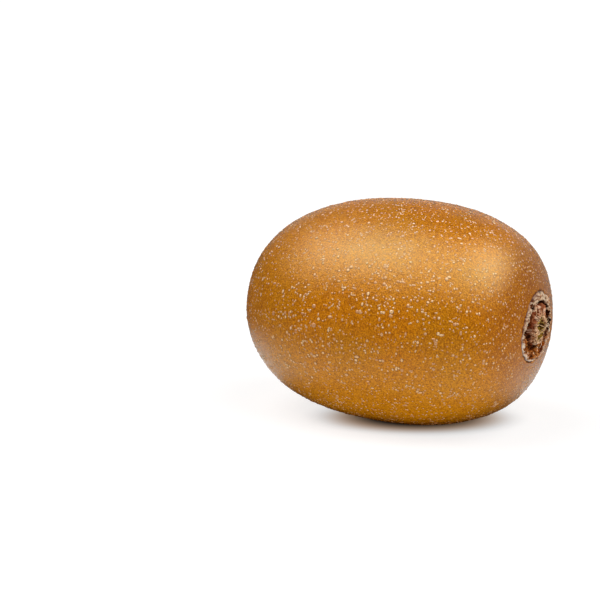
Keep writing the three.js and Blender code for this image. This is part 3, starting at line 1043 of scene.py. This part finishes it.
def pith_fibre(surface, y, z, towards, length, thickness, over):
    """A bent fibre, torn off at both ends, over the pith."""
    share = np.linspace(-0.5, 0.5, 12)
    bend = 0.12 * length * np.sin(3 * share + y)
    a = math.radians(towards)
    across = y + length * share * math.cos(a) - bend * math.sin(a)
    up = z + length * share * math.sin(a) + bend * math.cos(a)
    ground = np.array([on_scar(surface, *spot)[0] for spot in zip(across, up)])
    high = np.interp(share, (-0.5, 0, 0.5), (ground[0], ground.max(), ground[-1]))
    line = np.stack((high + over * (1 - 3 * share**2), across, up), axis=-1)
    thick = thickness * (1 - 0.6 * np.abs(2 * share) ** 3)
    return (*strand(line, thick, OUTWARDS, 0.7), FIBRE_TAN)


def calyx_shred(surface, random):
    """A curled shred of the calyx, or None where it would cover the pith or the gap."""
    around = random.uniform(0, TAU)
    start = random.uniform(*SHRED_STARTS)
    share = np.linspace(0, 1, 7)
    out = start + random.uniform(*SHRED_LENGTHS) * share
    turned = around + random.normal(0, 0.25) * share
    across, up = HEART[0] + out * np.cos(turned), HEART[1] + out * np.sin(turned)
    over_gap = out[-1] > SHRED_STARTS[1] and math.cos(around - 0.2) > 0.3
    if over_gap or pith_distance(across, up).min() < 2.0:
        return None
    root = on_scar(surface, across[0], up[0])
    lift = -0.1 + random.uniform(0.1, 0.5) * np.sin(share * random.uniform(1.5, 3.0))
    line = np.stack((root[0] + lift, across, up), axis=-1)
    thick = random.uniform(*SHRED_WIDTHS) * (1.05 - share**2)
    tone = SHRED_TONES[random.integers(len(SHRED_TONES))]
    return (*strand(line, thick, OUTWARDS, 0.35), tone)


def cork_chip(surface, random):
    """A chip that lies loose on the corky ring."""
    angle = random.uniform(0, TAU)
    foot, _ = scar_foot(SCAR_RADIUS, angle)
    radius = foot - 0.35 - 1.9 * random.random()
    spot = on_scar(surface, radius * math.cos(angle), radius * math.sin(angle))
    points, faces = flake(random, random.uniform(*CHIP_SIZES))
    tone = CHIP_TONES[random.integers(len(CHIP_TONES))]
    return tumbled(points, random) + spot + (0.04, 0, 0), faces, tone


def make_scar_debris(surface, dry_scar):
    """Torn fibres, curled shreds of calyx and loose chips of cork."""
    random = np.random.default_rng(31)
    bits = [pith_fibre(surface, *fibre) for fibre in FIBRES]
    shreds = [calyx_shred(surface, random) for _ in range(SHRED_COUNT)]
    bits += [shred for shred in shreds if shred]
    bits += [cork_chip(surface, random) for _ in range(CHIP_COUNT)]
    y, z, size = PALE_GRAIN
    points, faces = flake(random, size)
    bits.append((points + on_scar(surface, y, z) + (0.15, 0, 0), faces, CORK_PALE))
    joined("scar_bits", bits, dry_scar)


def dried_style(number, random):
    """The shrivelled stub of one style."""
    share = math.sqrt(number / (STYLE_COUNT - 1))
    angle = number * STYLE_TURN
    lean = STYLE_SPLAY * share
    along = (-math.cos(lean), math.sin(lean) * math.cos(angle), math.sin(lean) * math.sin(angle))
    spread = max(0.05, STYLE_SPREAD * share)
    root = fruit_point(station_of(spread, -1), np.array(angle), blossom_relief(spread, angle))
    reach = np.linspace(STYLE_ROOT, STYLE_LENGTH * (1 - 0.25 * share), STYLE_STEPS)
    wander = 0.05 * np.cumsum(random.standard_normal((STYLE_STEPS, 3)), axis=0)
    widths = (STYLE_FOOT, STYLE_FOOT * 0.85, STYLE_TIP)
    thick = np.interp(reach, (STYLE_ROOT, 0, STYLE_LENGTH), widths)
    thick *= 1 + 0.15 * random.standard_normal(STYLE_STEPS)
    line = root + reach[:, None] * np.array(along) + wander
    return (*strand(line, thick, (0.1, 0.3, 1.0), 0.8), STYLE_TONES[number % len(STYLE_TONES)])


def make_styles(dry_scar):
    """The dried styles, in the middle of the blossom end's pucker."""
    random = np.random.default_rng(41)
    joined("dried_styles", [dried_style(number, random) for number in range(STYLE_COUNT)], dry_scar)


# ---- The stage ----
FLOOR_HALF = 4000.0
FLOOR_GREY = (0.3, 0.3, 0.3, 1)
GLOSSY_GREY = (0.05, 0.05, 0.05, 1)  # the table as the skin's gloss shows it
WHITE = (1.0, 1.0, 1.0, 1)
SHADE_GLOW = (1.0, 0.68, 0.46, 1)  # the glow is warm where it is weakest: a painted warm tint, as of light thrown back by the fruit, in the painted shadow

# The table glows, but for ovals round the fruit, which are painted shadows of it. For each kind of ray:
# an oval's middle, turn and length by width, and for each part of the glow where it starts, where it is
# full, and its share
GLOWS = (
    ("Is Camera Ray", (4.9, 1.0, 0.0), 26, 1.66, ((5.1, 16.6, 0.79),)),
    ("Is Diffuse Ray", (7.0, 3.0, 0.0), 0, 1.9, ((12.0, 26.0, 1.1), (50.0, 120.0, -0.35))),
    ("Is Glossy Ray", (0.0, 0.0, 0.0), 0, 1.2, ((22.0, 36.0, 1.0), (45.0, 85.0, -0.97))),
    ("Is Glossy Ray", (45.0, 330.0, 0.0), 90, 3.2, ((110.0, 50.0, 0.5),)),  # the bright far table
)

# Patches of light in the room: azimuth, elevation, half angle, width of the soft edge, radiance
SHINE = (  # the soft boxes as reflections show them
    (-158, 60, 19, 13, 10.4),
    (20, 50, 21, 13, 11.8),
    (-58, 66, 20, 14, 4.5),
)
LAMPS = (  # the soft boxes, and a fill from the front, as they light what is matt
    (-152, 60, 20, 10, 4.8),
    (-10, 53, 20, 10, 4.9),
    (-80, 18, 40, 15, 0.32),
)
WALLS = (  # the bright surroundings, low behind the fruit
    (82, -12, 22, 14, 0.4),
    (114, -12, 27, 14, 0.75),
)
ROOM_LIGHT = 0.1


def oval_glow(s, middle, turn, length, parts):
    """The sum of some smooth rises of glow away from an oval's middle."""
    turned = (0.0, 0.0, math.radians(turn))
    inputs = {"Vector": s.place, "Location": middle, "Rotation": turned, "Scale": (length, 1.0, 1.0)}
    around = s.new("ShaderNodeMapping", inputs, vector_type="TEXTURE")
    away = s.new("ShaderNodeVectorMath", {0: around}, operation="LENGTH").node.outputs["Value"]
    glow = 0.0
    for start, full, share in parts:
        glow = s.math("ADD", s.ramp(away, start, full, 0.0, share), glow)
    return glow


def make_floor():
    """A wide white table, lit from below, with a painted shadow where the fruit rests: an oval with no
    glow.
    """
    mesh = bpy.data.meshes.new("floor")
    reach = FLOOR_HALF * MM
    corners = [(-reach, -reach, 0), (reach, -reach, 0), (reach, reach, 0), (-reach, reach, 0)]
    mesh.from_pydata(corners, [], [(0, 1, 2, 3)])
    floor = bpy.data.objects.new("floor", mesh)
    bpy.context.scene.collection.objects.link(floor)
    s = Shading("floor")
    rays = s.new("ShaderNodeLightPath", {}).node.outputs
    glow = 0.0
    for ray, *oval in GLOWS:
        glow = s.math("ADD", glow, s.math("MULTIPLY", oval_glow(s, *oval), rays[ray]))
    material = s.finish(
        Base_Color=s.mix(rays["Is Glossy Ray"], FLOOR_GREY, GLOSSY_GREY),
        Roughness=0.9,
        Specular_IOR_Level=0.0,
        Emission_Color=s.mix(s.ramp(glow, 0.1, 0.7), SHADE_GLOW, WHITE),
        Emission_Strength=glow,
    )
    mesh.materials.append(material)


def direction(azimuth, elevation):
    """A direction from its azimuth, from +X towards +Y, and its elevation."""
    a, e = math.radians(azimuth), math.radians(elevation)
    return (math.cos(a) * math.cos(e), math.sin(a) * math.cos(e), math.sin(e))


def patches_of_light(s, look, patches):
    """The sum of some soft round patches of light."""
    light = 0.0
    for azimuth, elevation, half_angle, edge, radiance in patches:
        sides = {0: look, 1: direction(azimuth, elevation)}
        facing = s.new("ShaderNodeVectorMath", sides, operation="DOT_PRODUCT").node.outputs["Value"]
        dark = math.cos(math.radians(half_angle + edge))
        full = math.cos(math.radians(max(0, half_angle - edge)))
        light = s.math("ADD", light, s.ramp(facing, dark, full, 0.0, radiance))
    return light


def make_studio():
    """Soft boxes above, a fill from the front and bright surroundings behind."""
    scene = bpy.context.scene
    scene.view_settings.view_transform = "Standard"
    scene.world = bpy.data.worlds.new("studio")
    scene.world.use_nodes = True
    scene.world.node_tree.nodes.clear()
    s = Nodes(scene.world.node_tree)
    look = s.new("ShaderNodeTexCoord", {})
    rays = s.new("ShaderNodeLightPath", {}).node.outputs
    shine = s.math("MULTIPLY", patches_of_light(s, look, SHINE), rays["Is Glossy Ray"])
    matt = s.math("MULTIPLY", patches_of_light(s, look, LAMPS), rays["Is Diffuse Ray"])
    total = s.math("ADD", s.math("ADD", shine, matt), patches_of_light(s, look, WALLS))
    total = s.math("ADD", total, ROOM_LIGHT)
    studio = s.new("ShaderNodeBackground", {"Strength": total})
    backdrop = s.new("ShaderNodeBackground", {"Color": WHITE})
    seen = s.new("ShaderNodeMixShader", {0: rays["Is Camera Ray"], 1: studio, 2: backdrop})
    s.fill(s.tree.nodes.new("ShaderNodeOutputWorld"), {"Surface": seen})


def make_camera():
    """The camera, turned so that the body's middle lies at its pixel."""
    towards = Vector(direction(*CAMERA_DIRECTION))
    middle = Vector(MIDDLE.tolist())
    right = (-towards).cross(Vector((0, 0, 1))).normalized()
    up = right.cross(-towards)
    mm_per_pixel = CAMERA_DISTANCE / FOCAL_PIXELS
    aside, below = ((pixel - IMAGE_SIZE / 2) * mm_per_pixel for pixel in MIDDLE_PIXEL)
    place = middle + towards * CAMERA_DISTANCE
    target = middle - right * aside + up * below
    data = bpy.data.cameras.new("camera")
    data.sensor_width = SENSOR_WIDTH
    data.lens = FOCAL_PIXELS / IMAGE_SIZE * SENSOR_WIDTH
    data.clip_start = 0.01
    camera = bpy.data.objects.new("camera", data)
    camera.location = place * MM
    camera.rotation_euler = (target - place).to_track_quat("-Z", "Y").to_euler()
    bpy.context.scene.collection.objects.link(camera)
    bpy.context.scene.camera = camera


make_camera()
make_studio()
make_floor()
skin = skin_material()
make_skin(skin)
make_all_dots()
dry_scar = scar_material()
scar_surface = make_scar(skin, dry_scar)
make_scar_debris(scar_surface, dry_scar)
make_styles(dry_scar)
